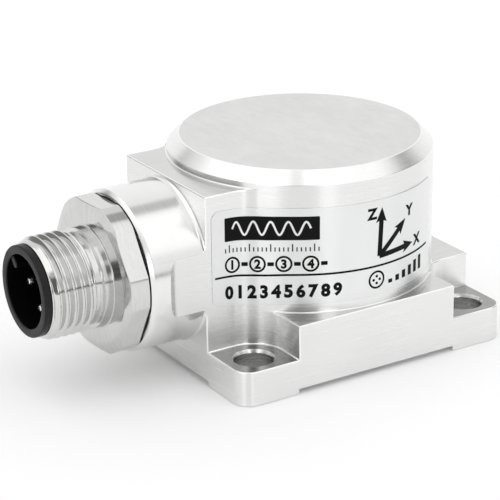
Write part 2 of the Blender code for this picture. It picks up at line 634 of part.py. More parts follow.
def smooth_route(points, samples):
    """Points along a smooth curve through the given points."""
    pts = [Vector(p) for p in points]
    pts = [pts[0] * 2 - pts[1]] + pts + [pts[-1] * 2 - pts[-2]]
    out = []
    for k in range(1, len(pts) - 2):
        p0, p1, p2, p3 = pts[k - 1:k + 3]
        for s in range(samples):
            t = s / samples
            out.append(0.5 * ((2 * p1) + (p2 - p0) * t + (2 * p0 - 5 * p1 + 4 * p2 - p3) * t ** 2
                              + (3 * p1 - p0 - 3 * p2 + p3) * t ** 3))
    out.append(pts[-2])
    return out


CREST = (14.0, 15.4, 14.0, 12.6)
for i, (a, y_end, crest) in enumerate(zip(PIN_ANGLES, WIRE_Y, CREST), 1):
    y, z = around(a, PIN_CIRCLE)
    route = smooth_route([(-22.4, y, z), (-20.0, y, z), (-14.5, y * 0.95 + y_end * 0.05, z * 0.8 + crest * 0.2),
                          (-8.6, y * 0.4 + y_end * 0.6, crest), (HX - 0.9, y_end, crest - 1.2),
                          (HX, y_end, PART_Z + 3.9), (HX, y_end, PART_Z + 1.9)], 3)
    curve = bpy.data.curves.new(f"lead_wire_{i}", "CURVE")
    curve.dimensions = "3D"
    curve.bevel_depth = 0.32 * MM
    curve.bevel_resolution = 1
    curve.use_fill_caps = True
    spline = curve.splines.new("POLY")
    spline.points.add(len(route) - 1)
    for p, co in zip(spline.points, route):
        p.co = (co.x * MM, co.y * MM, co.z * MM, 1.0)
    wire = place(bpy.data.objects.new(f"lead_wire_{i}", curve))
    curve.materials.append(M_WIRES[i - 1])
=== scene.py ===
"""Vibration sensor with an M12 connector, in a plain studio.

All shapes are worked out in millimetres about the sensor's own axis (X along the
connector, which points to -X, Z up) and then scaled and moved into the frame.
"""
import math

import bmesh
import bpy
from mathutils import Matrix, Vector


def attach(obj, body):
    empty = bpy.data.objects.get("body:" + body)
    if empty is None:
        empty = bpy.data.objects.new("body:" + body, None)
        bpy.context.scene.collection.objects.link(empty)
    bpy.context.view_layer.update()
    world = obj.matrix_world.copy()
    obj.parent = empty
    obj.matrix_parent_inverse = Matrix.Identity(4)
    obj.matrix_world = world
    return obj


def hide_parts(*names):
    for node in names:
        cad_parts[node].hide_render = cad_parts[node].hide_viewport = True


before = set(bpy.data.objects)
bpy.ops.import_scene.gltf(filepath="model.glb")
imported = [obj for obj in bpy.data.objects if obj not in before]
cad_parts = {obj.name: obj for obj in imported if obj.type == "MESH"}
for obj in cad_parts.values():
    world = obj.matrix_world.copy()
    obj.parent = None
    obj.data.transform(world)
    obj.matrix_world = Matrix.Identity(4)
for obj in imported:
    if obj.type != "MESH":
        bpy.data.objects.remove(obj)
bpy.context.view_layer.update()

MM = 0.001
AXIS_X = 9.17

# ------------------------------------------------------------------ dimensions (mm)
HALF_X, HALF_Y = 18.4, 16.3
TAB_TOP, PLATEAU_TOP, RELIEF = 4.2, 8.35, 0.6
BLOCK_TOP, CHAMFER_FOOT, TOP = 22.9, 23.6, 25.0
BODY_R, TOP_R = 15.65, 14.2
ARM = 8.83
TANGENT = 10 * 360.0 / 88
SIN_T, COS_T = math.sin(math.radians(TANGENT)), math.cos(math.radians(TANGENT))
POCKET_R = (BODY_R * SIN_T - ARM) / (1 - SIN_T)
POCKET_CX = (BODY_R + POCKET_R) * COS_T
POCKET_CY = ARM + POCKET_R
FRONT_HALF = POCKET_CX - POCKET_R
HOLE_X, HOLE_Y, HOLE_R = 14.75, 12.8, 2.25
CONN_Z = 12.9
BOSS_R, BOSS_END = 9.45, -25.55
ROUND = 0.17
STEPS = 264

LABEL_LEFT, LABEL_LOW, LABEL_HIGH, LABEL_CORNER = -17.65, 9.45, 20.95, 1.0
LABEL_END_ANGLE = 310.0


# ------------------------------------------------------------------ mesh helpers (mm)
def new_mesh(name, verts, faces):
    me = bpy.data.meshes.new(name)
    me.from_pydata([tuple(v) for v in verts], [], faces)
    me.update()
    return me


def fix_normals(me):
    bm = bmesh.new()
    bm.from_mesh(me)
    bmesh.ops.recalc_face_normals(bm, faces=bm.faces)
    bm.to_mesh(me)
    bm.free()
    return me


def prism(name, loop, z0, z1):
    n = len(loop)
    verts = [(x, y, z0) for x, y in loop] + [(x, y, z1) for x, y in loop]
    faces = [list(range(n))[::-1], list(range(n, 2 * n))]
    faces += [[i, (i + 1) % n, n + (i + 1) % n, n + i] for i in range(n)]
    return fix_normals(new_mesh(name, verts, faces))


def block(name, low, high):
    (x0, y0, z0), (x1, y1, z1) = low, high
    return prism(name, [(x0, y0), (x1, y0), (x1, y1), (x0, y1)], z0, z1)


def lathe(name, profile, steps, start=0.0, closed=False, along_x=False, centre=(0, 0, 0)):
    """Turned solid from (radius, height) points.  A radius of 0 is a point on the axis.

    along_x: height h lies at x = -h, about an axis through centre."""
    verts, rows = [], []
    for r, h in profile:
        if r < 1e-9:
            rows.append([len(verts)])
            verts.append((0.0, 0.0, h))
        else:
            rows.append(list(range(len(verts), len(verts) + steps)))
            verts += [(r * math.cos(math.radians(start + 360.0 * k / steps)),
                       r * math.sin(math.radians(start + 360.0 * k / steps)), h) for k in range(steps)]
    faces = []
    pairs = list(zip(rows, rows[1:])) + ([(rows[-1], rows[0])] if closed else [])
    for a, b in pairs:
        for k in range(steps):
            j = (k + 1) % steps
            if len(a) == 1:
                faces.append([a[0], b[k], b[j]])
            elif len(b) == 1:
                faces.append([a[k], b[0], a[j]])
            else:
                faces.append([a[k], b[k], b[j], a[j]])
    if along_x:
        verts = [(-z + centre[0], y + centre[1], x + centre[2]) for x, y, z in verts]
    else:
        verts = [(x + centre[0], y + centre[1], z + centre[2]) for x, y, z in verts]
    return fix_normals(new_mesh(name, verts, faces))


def rounded_profile(points, radius=0.08, segments=3):
    """Round every turn of an open (radius, height) profile whose neighbours leave room."""
    out = []
    for i, p in enumerate(points):
        r = p[2] if len(p) > 2 else radius
        p = Vector(p[:2])
        if i in (0, len(points) - 1) or r <= 0:
            out.append(tuple(p))
            continue
        a, b = Vector(points[i - 1][:2]), Vector(points[i + 1][:2])
        da, db = (a - p), (b - p)
        la, lb = da.length, db.length
        da.normalize()
        db.normalize()
        turn = math.acos(max(-1, min(1, -da.dot(db))))
        cut = min(r * math.tan(turn / 2), la * 0.45, lb * 0.45)
        if cut < 1e-4:
            out.append(tuple(p))
            continue
        s, e = p + da * cut, p + db * cut
        for k in range(segments + 1):
            t = k / segments
            out.append(tuple(s * (1 - t) ** 2 + p * 2 * t * (1 - t) + e * t ** 2))
    return out


def combine(base, steps):
    """base mesh with a list of (operation, mesh) applied one after the other."""
    obj = bpy.data.objects.new("work", base)
    bpy.context.scene.collection.objects.link(obj)
    others = []
    for op, me in steps:
        other = bpy.data.objects.new("work_tool", me)
        bpy.context.scene.collection.objects.link(other)
        others.append(other)
        m = obj.modifiers.new("b", "BOOLEAN")
        m.operation = op
        m.solver = "EXACT"
        m.object = other
    bpy.context.view_layer.update()
    graph = bpy.context.evaluated_depsgraph_get()
    result = bpy.data.meshes.new_from_object(obj.evaluated_get(graph))
    for o in others + [obj]:
        me = o.data
        bpy.data.objects.remove(o)
        bpy.data.meshes.remove(me)
    return result


def clean(me, angle=0.2):
    """Join the fragments of flat faces."""
    bm = bmesh.new()
    bm.from_mesh(me)
    bmesh.ops.remove_doubles(bm, verts=bm.verts, dist=1e-5)
    bmesh.ops.dissolve_limit(bm, angle_limit=math.radians(angle), use_dissolve_boundaries=False,
                             verts=bm.verts, edges=bm.edges, delimit=set())
    bm.to_mesh(me)
    bm.free()
    return me


def bevel(me, pick, width, segments):
    bm = bmesh.new()
    bm.from_mesh(me)
    bm.normal_update()
    edges = [e for e in bm.edges if len(e.link_faces) == 2 and pick(e)]
    bmesh.ops.bevel(bm, geom=edges, offset=width, offset_type="OFFSET", segments=segments, profile=0.5,
                    affect="EDGES", clamp_overlap=False, miter_inner="SHARP", miter_outer="SHARP")
    bm.to_mesh(me)
    bm.free()
    return me


def finish_piece(name, me, materials, angle=38.0, weighted=True, flat=False):
    """Move a mesh from sensor millimetres into the frame and make it a piece of the sensor."""
    me.name = name
    me.transform(Matrix.Translation((AXIS_X * MM, 0, 0)) @ Matrix.Scale(MM, 4))
    if not flat:
        me.shade_smooth()
        me.set_sharp_from_angle(angle=math.radians(angle))
    obj = bpy.data.objects.new(name, me)
    bpy.context.scene.collection.objects.link(obj)
    me.materials.clear()
    for m in materials if isinstance(materials, (list, tuple)) else [materials]:
        me.materials.append(m)
    if weighted and not flat:
        w = obj.modifiers.new("even_normals", "WEIGHTED_NORMAL")
        w.keep_sharp = True
        w.weight = 60
    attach(obj, "root")
    return obj


def arc(cx, cy, r, a0, a1, n):
    return [(cx + r * math.cos(math.radians(a0 + (a1 - a0) * i / n)),
             cy + r * math.sin(math.radians(a0 + (a1 - a0) * i / n))) for i in range(n + 1)]


def rounded_rect(hx, hy, r, n):
    return arc(-hx + r, -hy + r, r, 180, 270, n) + arc(hx - r, -hy + r, r, 270, 360, n) \
        + arc(hx - r, hy - r, r, 0, 90, n) + arc(-hx + r, hy - r, r, 90, 180, n)


# ------------------------------------------------------------------ materials
class Nodes:
    """Small helper to build a node tree."""

    def __init__(self, name):
        self.mat = bpy.data.materials.new(name)
        self.mat.use_nodes = True
        self.tree = self.mat.node_tree
        self.bsdf = self.tree.nodes["Principled BSDF"]

    def add(self, kind, **values):
        n = self.tree.nodes.new(kind)
        for k, v in values.items():
            setattr(n, k, v)
        return n

    def link(self, a, b):
        self.tree.links.new(a, b)

    def coords(self, scale, rotation=(0, 0, 0)):
        tc = self.add("ShaderNodeTexCoord")
        mp = self.add("ShaderNodeMapping")
        mp.inputs["Scale"].default_value = scale
        mp.inputs["Rotation"].default_value = rotation
        self.link(tc.outputs["Object"], mp.inputs["Vector"])
        return mp.outputs["Vector"]

    def turned(self, scale, centre_z):
        """Texture space of a part turned about a line along X at height centre_z: along it, out from it and round it."""
        tc = self.add("ShaderNodeTexCoord")
        sep = self.add("ShaderNodeSeparateXYZ")
        self.link(tc.outputs["Object"], sep.inputs[0])
        x, y, z = sep.outputs
        z = self.math("SUBTRACT", z, centre_z)
        out = self.math("SQRT", self.math("ADD", self.math("MULTIPLY", y, y), self.math("MULTIPLY", z, z)))
        com = self.add("ShaderNodeCombineXYZ")
        self.link(self.math("MULTIPLY", x, scale[0]), com.inputs[0])
        self.link(self.math("MULTIPLY", out, scale[1]), com.inputs[1])
        self.link(self.math("MULTIPLY", self.math("ARCTAN2", z, y), scale[2]), com.inputs[2])
        return com.outputs[0]

    def noise(self, vector, scale=1.0, detail=3.0, rough=0.55):
        n = self.add("ShaderNodeTexNoise")
        n.inputs["Scale"].default_value = scale
        n.inputs["Detail"].default_value = detail
        n.inputs["Roughness"].default_value = rough
        self.link(vector, n.inputs["Vector"])
        return n.outputs["Fac"]

    def ramp(self, value, lo, hi, c0, c1):
        r = self.add("ShaderNodeMapRange")
        r.inputs["From Min"].default_value = lo
        r.inputs["From Max"].default_value = hi
        r.inputs["To Min"].default_value = c0
        r.inputs["To Max"].default_value = c1
        self.link(value, r.inputs["Value"])
        return r.outputs["Result"]

    def mix(self, fac, a, b):
        m = self.add("ShaderNodeMix", data_type="RGBA")
        self.link(fac, m.inputs["Factor"])
        m.inputs[6].default_value = (*a, 1.0)
        m.inputs[7].default_value = (*b, 1.0)
        return m.outputs[2]

    def math(self, op, a, b=None):
        m = self.add("ShaderNodeMath", operation=op)
        for i, v in enumerate((a, b)):
            if v is None:
                continue
            if isinstance(v, (int, float)):
                m.inputs[i].default_value = v
            else:
                self.link(v, m.inputs[i])
        return m.outputs[0]

    def bump(self, height, strength, distance):
        b = self.add("ShaderNodeBump")
        b.inputs["Strength"].default_value = strength
        b.inputs["Distance"].default_value = distance
        self.link(height, b.inputs["Height"])
        self.link(b.outputs["Normal"], self.bsdf.inputs["Normal"])
        return b

    def set(self, **values):
        for k, v in values.items():
            self.bsdf.inputs[k.replace("_", " ")].default_value = v


def metal(name, colour_a, colour_b, rough_a, rough_b, line_scale, bump=0.12, fine=6000.0, stretch=0.0, axis="Z",
          turned=None):
    """Machined metal: fine cutter lines along line_scale's short axes, with a fine grain.

    stretch: how much the lines spread reflections across themselves, for cuts that run round axis."""
    n = Nodes(name)
    if stretch:
        tangent = n.add("ShaderNodeTangent", direction_type="RADIAL", axis=axis)
        n.link(tangent.outputs["Tangent"], n.bsdf.inputs["Tangent"])
        n.set(Anisotropic=stretch, Anisotropic_Rotation=0.25)
    lines = n.noise(n.turned(line_scale, turned) if turned is not None else n.coords(line_scale), detail=4.0, rough=0.6)
    grain = n.noise(n.coords((fine, fine, fine)), detail=2.0)
    cloud = n.noise(n.coords((90, 90, 90)), detail=2.0)
    both = n.math("ADD", n.math("MULTIPLY", lines, 0.8), n.math("MULTIPLY", grain, 0.2))
    n.link(n.mix(n.ramp(n.math("ADD", n.math("MULTIPLY", both, 0.65), n.math("MULTIPLY", cloud, 0.35)),
                        0.36, 0.64, 0.0, 1.0), colour_a, colour_b), n.bsdf.inputs["Base Color"])
    n.link(n.ramp(lines, 0.3, 0.7, rough_a, rough_b), n.bsdf.inputs["Roughness"])
    n.bump(both, bump, 0.00002)
    n.set(Metallic=1.0)
    return n.mat


def plain(name, colour_a, colour_b, rough_a, rough_b, scale=3000.0, bump=0.15, metallic=0.0):
    """Moulded plastic, rubber or ceramic with a fine texture."""
    n = Nodes(name)
    a = n.noise(n.coords((scale,) * 3), detail=3.0)
    b = n.noise(n.coords((scale / 12,) * 3), detail=2.0)
    both = n.math("ADD", n.math("MULTIPLY", a, 0.5), n.math("MULTIPLY", b, 0.5))
    n.link(n.mix(n.ramp(both, 0.35, 0.65, 0.0, 1.0), colour_a, colour_b), n.bsdf.inputs["Base Color"])
    n.link(n.ramp(b, 0.35, 0.65, rough_a, rough_b), n.bsdf.inputs["Roughness"])
    n.bump(a, bump, 0.00002)
    n.set(Metallic=metallic)
    return n.mat


M_WALL = metal("milled_aluminium", (0.81, 0.81, 0.805), (0.89, 0.89, 0.885), 0.25, 0.28, (60, 60, 5200), bump=0.008,
               stretch=0.97)
# painted highlight: the narrow bevel strips get a brighter copy of the aluminium, so the broken edges show bright lines
# beyond what they reflect
M_HIGHLIGHT_EDGE = metal("edge_aluminium_painted_highlight", (0.90, 0.90, 0.895), (0.95, 0.95, 0.945), 0.2, 0.28, (700, 700, 700), bump=0.03)
M_RIM = metal("rim_aluminium", (0.80, 0.80, 0.795), (0.88, 0.88, 0.875), 0.22, 0.28, (300, 300, 7000), bump=0.04,
              stretch=0.85)
M_TOP = metal("faced_aluminium", (0.675, 0.675, 0.67), (0.765, 0.765, 0.76), 0.36, 0.42, (1100, 420, 1500), bump=0.1)
M_SHELF = metal("shelf_aluminium", (0.61, 0.61, 0.605), (0.68, 0.68, 0.675), 0.13, 0.18, (300, 3000, 300), bump=0.06)
# painted shade: the pocket floors get a much darker copy of the aluminium, standing in for the shade and dark
# reflections of the recess
M_SHADED_FLOOR = metal("aluminium_pocket_floor_painted_shade", (0.29, 0.29, 0.285), (0.36, 0.36, 0.355), 0.14, 0.2, (900, 900, 900), bump=0.04,
                fine=2500.0)
# painted shade: the walls of the screw holes get a darker copy of the aluminium, standing in for the shade inside them
M_SHADED_HOLE = metal("hole_aluminium_painted_shade", (0.62, 0.62, 0.615), (0.72, 0.72, 0.715), 0.2, 0.32, (300, 300, 5000))
M_BOSS = metal("turned_aluminium", (0.81, 0.81, 0.805), (0.87, 0.87, 0.865), 0.17, 0.24, (5200, 5200, 1.5), bump=0.08,
               stretch=0.55, axis="X", turned=CONN_Z * MM)
M_COVER = metal("cover_aluminium", (0.70, 0.70, 0.695), (0.78, 0.78, 0.775), 0.32, 0.44, (900, 900, 900))
M_NICKEL = metal("nickel_plate", (0.62, 0.62, 0.612), (0.71, 0.71, 0.70), 0.06, 0.11, (3600, 3600, 3.0), bump=0.08,
                 turned=CONN_Z * MM)
M_FACE = metal("turned_nickel", (0.55, 0.55, 0.542), (0.66, 0.66, 0.65), 0.07, 0.12, (30, 30, 45.0), bump=0.25,
               stretch=0.4, axis="X", turned=CONN_Z * MM)
M_PIN = metal("pin_plating", (0.84, 0.84, 0.83), (0.92, 0.92, 0.91), 0.2, 0.28, (3000, 600, 600), bump=0.05)
M_STEEL = metal("stainless_steel", (0.55, 0.55, 0.55), (0.68, 0.68, 0.67), 0.22, 0.36, (3000, 3000, 500))
M_RUBBER = plain("seal_rubber", (0.006, 0.006, 0.006), (0.015, 0.015, 0.015), 0.5, 0.7)
M_PLASTIC = plain("insert_plastic", (0.007, 0.007, 0.007), (0.014, 0.014, 0.014), 0.36, 0.5, bump=0.3)
# painted shade: the socket inside the insert gets a near-black copy of the plastic, standing in for the shade in its
# bore
M_SHADED_BORE = plain("socket_plastic_painted_shade", (0.0012, 0.0012, 0.0012), (0.0025, 0.0025, 0.0025), 0.5, 0.65, bump=0.2)
M_INK = plain("label_ink", (0.002, 0.002, 0.002), (0.004, 0.004, 0.004), 0.5, 0.6, bump=0.05)
M_BOARD = plain("solder_mask", (0.012, 0.10, 0.035), (0.03, 0.17, 0.07), 0.3, 0.45, bump=0.1)
M_CHIP = plain("chip_moulding", (0.015, 0.015, 0.016), (0.04, 0.04, 0.042), 0.45, 0.6)
M_CERAMIC = plain("capacitor_ceramic", (0.36, 0.24, 0.14), (0.5, 0.36, 0.24), 0.45, 0.6)
M_HEADER = plain("header_plastic", (0.66, 0.63, 0.55), (0.76, 0.73, 0.66), 0.4, 0.55)
for dark, gloss in ((M_INK, 0.12), (M_PLASTIC, 0.22), (M_SHADED_BORE, 0.05), (M_RUBBER, 0.2)):
    dark.node_tree.nodes["Principled BSDF"].inputs["Specular IOR Level"].default_value = gloss


def label_material():
    n = Nodes("label_film")
    fleck = n.noise(n.coords((2600, 2600, 2600)), detail=2.0)
    cloud = n.noise(n.coords((120, 120, 60)), detail=2.0)
    n.link(n.mix(n.ramp(cloud, 0.3, 0.7, 0.0, 1.0), (0.815, 0.825, 0.82), (0.86, 0.868, 0.862)),
           n.bsdf.inputs["Base Color"])
    n.link(n.ramp(fleck, 0.3, 0.7, 0.28, 0.34), n.bsdf.inputs["Roughness"])
    tangent = n.add("ShaderNodeTangent", direction_type="RADIAL", axis="Z")
    n.link(tangent.outputs["Tangent"], n.bsdf.inputs["Tangent"])
    n.set(Metallic=0.75, Anisotropic=0.9, Anisotropic_Rotation=0.25)
    return n.mat


M_FILM = label_material()


# ------------------------------------------------------------------ housing
def pocket_arc(contact, n=20):
    first = [90.0 + (TANGENT - 90.0) * i / n for i in range(n)]
    second = [TANGENT * (1 - i / n) for i in range(1, n + 1)]
    pts = [(-POCKET_CX + POCKET_R * math.cos(math.radians(a)),
            -POCKET_CY + POCKET_R * math.sin(math.radians(a))) for a in first + second]
    return pts[:n] + [(-contact * COS_T, -contact * SIN_T)] + pts[n:]


def pocket_outline(sx, sy, contact, out=4.0):
    loop = [(-HALF_X - out, -ARM)] + pocket_arc(contact) + [(-FRONT_HALF, -HALF_Y - out), (-HALF_X - out, -HALF_Y - out)]
    loop = [(-sx * x, -sy * y) for x, y in loop]
    return loop if sx * sy > 0 else loop[::-1]


CORNERS = ((-1, -1), (1, -1), (1, 1), (-1, 1))
FACET_R = BODY_R * math.cos(math.pi / STEPS)


def make_housing():
    upper = block("upper", (-HALF_X - 1, -HALF_Y - 1, 1.2), (HALF_X + 1, HALF_Y + 1, PLATEAU_TOP))
    lean = math.radians(TANGENT + 0.3)
    left = [(-HALF_X - 1, -14.5), (-20.5 * math.cos(lean), -20.5 * math.sin(lean)),
            (-2.0 * math.cos(lean), -2.0 * math.sin(lean))]
    left = left + [(x, -y) for x, y in reversed(left)]
    body = lathe("body", [(0.0, TOP), (TOP_R, TOP), (BODY_R, CHAMFER_FOOT), (BODY_R, 1.6), (0.0, 1.6)],
                 STEPS, start=180.0 / STEPS)
    steps = [("UNION", prism("block", left, 2.0, BLOCK_TOP)), ("UNION", body)]
    for sx, sy in CORNERS:
        contact, z1 = (FACET_R - 0.002, TOP + 1) if sx < 0 else (BODY_R, PLATEAU_TOP + 0.5)
        steps.append(("DIFFERENCE", prism("pocket", pocket_outline(sx, sy, contact), 0.5, z1)))
    upper = combine(upper, steps)
    relief = combine(block("relief", (-30, -30, -2), (30, 30, RELIEF)),
                     [("DIFFERENCE", prism("foot", pocket_outline(sx, sy, BODY_R, 20.0), -4, RELIEF + 1))
                      for sx, sy in CORNERS])
    me = combine(block("plate", (-HALF_X - 1, -HALF_Y - 1, -1.0), (HALF_X + 1, HALF_Y + 1, TAB_TOP)),
                 [("UNION", upper), ("INTERSECT", prism("sides", rounded_rect(HALF_X, HALF_Y, 2.1, 14), 0.0, TOP + 2)),
                  ("DIFFERENCE", relief)])
    clean(me)

    cusps = [(sx * BODY_R * COS_T, sy * BODY_R * SIN_T) for sx, sy in CORNERS]

    def near_cusp(e):
        for v in e.verts:
            if any(math.hypot(v.co.x - x, v.co.y - y) < 1.3 for x, y in cusps) \
                    and (abs(v.co.z - PLATEAU_TOP) < 0.01 or abs(v.co.z - BLOCK_TOP) < 0.01):
                return True
        return False

    def ring(e):
        return all(v.co.z > CHAMFER_FOOT - 0.01 for v in e.verts)

    def convex(e, limit=20.0):
        return e.is_convex and e.calc_face_angle(0.0) > math.radians(limit)

    def hollow(e):
        z = e.verts[0].co.z
        return all(abs(v.co.z - z) < 0.01 for v in e.verts) and min(abs(z - h) for h in (TAB_TOP, PLATEAU_TOP, BLOCK_TOP)) \
            < 0.01 and not e.is_convex and e.calc_face_angle(0.0) > math.radians(30.0)

    bevel(me, lambda e: ring(e) and convex(e), 0.07, 2)
    bevel(me, lambda e: not near_cusp(e) and (hollow(e) or (not ring(e) and convex(e, 30.0)
          and all(v.co.z < CHAMFER_FOOT - 0.2 for v in e.verts))), ROUND, 3)

    # what is cut and added after the edges are broken
    boss = lathe("boss", rounded_profile([
        (0.0, -BOSS_END), (BOSS_R - 0.4, -BOSS_END, 0.06), (BOSS_R, -BOSS_END - 0.4, 0.1),
        (BOSS_R, HALF_X + 0.25, 0.5), (BOSS_R + 0.55, HALF_X - 0.3, 0.0), (0.0, HALF_X - 1.0)], segments=4),
        216, along_x=True, centre=(0.0, 0.0, CONN_Z))
    flats = []
    for side in (-1, 1):
        loop = [(-HALF_X + 2.0, ARM - 0.004)] + arc(-22.1, ARM - 0.004 + 1.5, 1.5, 270, 180, 16) \
            + [(-23.6, 12.0), (-HALF_X + 2.0, 12.0)]
        if side < 0:
            loop = [(x, -y) for x, y in reversed(loop)]
        flats.append(("DIFFERENCE", prism("flat", loop, CONN_Z - 11, CONN_Z + 11)))
    boss = combine(boss, flats)
    steps = [("UNION", boss)]
    for sx, sy in CORNERS:
        hole = lathe("hole", [(0.0, TAB_TOP + 0.4), (HOLE_R + 0.42, TAB_TOP + 0.4), (HOLE_R + 0.19, TAB_TOP - 0.02),
                              (HOLE_R + 0.03, TAB_TOP - 0.36), (HOLE_R, TAB_TOP - 0.5), (HOLE_R, 0.25),
                              (HOLE_R + 0.65, -0.4), (0.0, -0.4)], 72, start=1.3,
                     centre=(sx * HOLE_X, sy * HOLE_Y, 0.0))
        steps.append(("DIFFERENCE", hole))
    steps.append(("DIFFERENCE", lathe("seat", [(0.0, 2.4), (15.0, 2.4), (15.0, RELIEF + 0.12), (15.6, RELIEF - 0.48),
                                               (0.0, RELIEF - 0.48)], 160, start=0.7)))
    steps.append(("DIFFERENCE", lathe("cavity", [(0.0, 22.6), (10.3, 22.6), (10.9, 22.0), (10.9, 1.9), (0.0, 1.9)],
                                      96, start=0.9)))
    steps.append(("DIFFERENCE", lathe("bore", [(0.0, 27.5), (8.74, 27.5), (8.74, 25.25), (7.4, 25.25), (7.4, 8.0), (0.0, 8.0)],
                                    144, start=0.4,
                                      along_x=True, centre=(0.0, 0.0, CONN_Z))))
    for a in (45, 135, 225, 315):
        steps.append(("DIFFERENCE", lathe("pilot", [(0.0, 6.4), (0.85, 6.0), (0.85, 1.4), (0.0, 1.4)], 24, start=2.0,
                                          centre=(13.0 * math.cos(math.radians(a)), 13.0 * math.sin(math.radians(a)), 0.0))))
    me = combine(me, steps)
    clean(me)
    return me


housing_mesh = make_housing()
# faces turned on the boss, faced from above, pocket floors left by the cutter low down (painted shade: a much darker
# copy of the aluminium), drilled (painted shade: a darker copy), or milled from the side
for f in housing_mesh.polygons:
    c, nrm = f.center, f.normal
    f.material_index = 0
    if c.x < -HALF_X - 0.05:
        f.material_index = 0 if abs(nrm.y) > 0.9999 or (abs(nrm.z) < 0.01 and 0.02 < abs(nrm.x) < 0.98
                                                       and c.x > -24.4) else 2
    elif c.z > BLOCK_TOP + 0.12 and c.z < TOP - 0.02:
        f.material_index = 5
    elif abs(nrm.z) > 0.9:
        # index 3, the pocket floors, takes the darkened aluminium: painted shade
        f.material_index = 3 if abs(c.z - TAB_TOP) < 0.05 else 6 if 8.0 < c.z < 24.0 else 1
    elif any(math.hypot(c.x - sx * HOLE_X, c.y - sy * HOLE_Y) < HOLE_R + 0.05 for sx, sy in CORNERS) and c.z < TAB_TOP - 0.3:
        # the hole walls take the darkened aluminium: painted shade
        f.material_index = 4
    rim = sum((housing_mesh.vertices[k[0]].co - housing_mesh.vertices[k[1]].co).length for k in f.edge_keys)
    on_fillet = any(abs(math.hypot(c.x - sx * POCKET_CX, c.y - sy * POCKET_CY) - POCKET_R) < 0.05 for sx, sy in CORNERS)
    if 2 * f.area / rim < 0.13 and c.x > -HALF_X - 0.05 and c.z > 0.05 and f.material_index != 4:
        hollow_strip = any(h - 0.01 < c.z < h + 0.2 for h in (TAB_TOP, PLATEAU_TOP, BLOCK_TOP))
        if hollow_strip:
            f.material_index = 5                 # the small radii at the foot of the walls
        elif not (on_fillet and abs(nrm.z) < 0.1):
            f.material_index = 7                 # the narrow strips of the broken edges, in a brighter copy of the aluminium: real bevels with painted highlight
slots = [f.material_index for f in housing_mesh.polygons]
housing = finish_piece("housing_body", housing_mesh, [M_WALL, M_TOP, M_BOSS, M_SHADED_FLOOR, M_SHADED_HOLE, M_RIM, M_SHELF, M_HIGHLIGHT_EDGE])
housing_mesh.polygons.foreach_set("material_index", slots)
bm = bmesh.new()
bm.from_mesh(housing.data)
for e in bm.edges:                               # the milled flats on the boss have crisp outlines
    if all((-24.5 + AXIS_X) * MM < v.co.x < (-18.9 + AXIS_X) * MM for v in e.verts) \
            and len(e.link_faces) == 2 and e.calc_face_angle(0.0) > math.radians(7.0):
        e.smooth = False
bm.to_mesh(housing.data)
bm.free()
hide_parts("housing")

# ------------------------------------------------------------------ connector shell
SHELL_FRONT, FLANGE_FRONT, FLANGE_BACK = -35.85, -28.4, -25.7
THREAD_R, THREAD_ROOT, PITCH = 5.9, 5.33, 1.0
FLANGE_R, FLANGE_FACE_R, FLAT = 9.1, 7.9, 8.6
TURN = 27.3


def thread_height(t):
    """Depth profile of one pitch: 0 at the crest's middle, t in pitches, with a rounded crest and root."""
    t = abs((t + 0.5) % 1.0 - 0.5)
    crest, root, soft = 0.07, 0.41, 0.045
    u = (t - crest) / (root - crest)
    if t < crest + soft:
        return 1.0 - max(0.0, t - crest + soft) ** 2 / (4 * soft) / (root - crest)
    if t > root - soft:
        return max(0.0, root + soft - t) ** 2 / (4 * soft) / (root - crest)
    return 1.0 - u


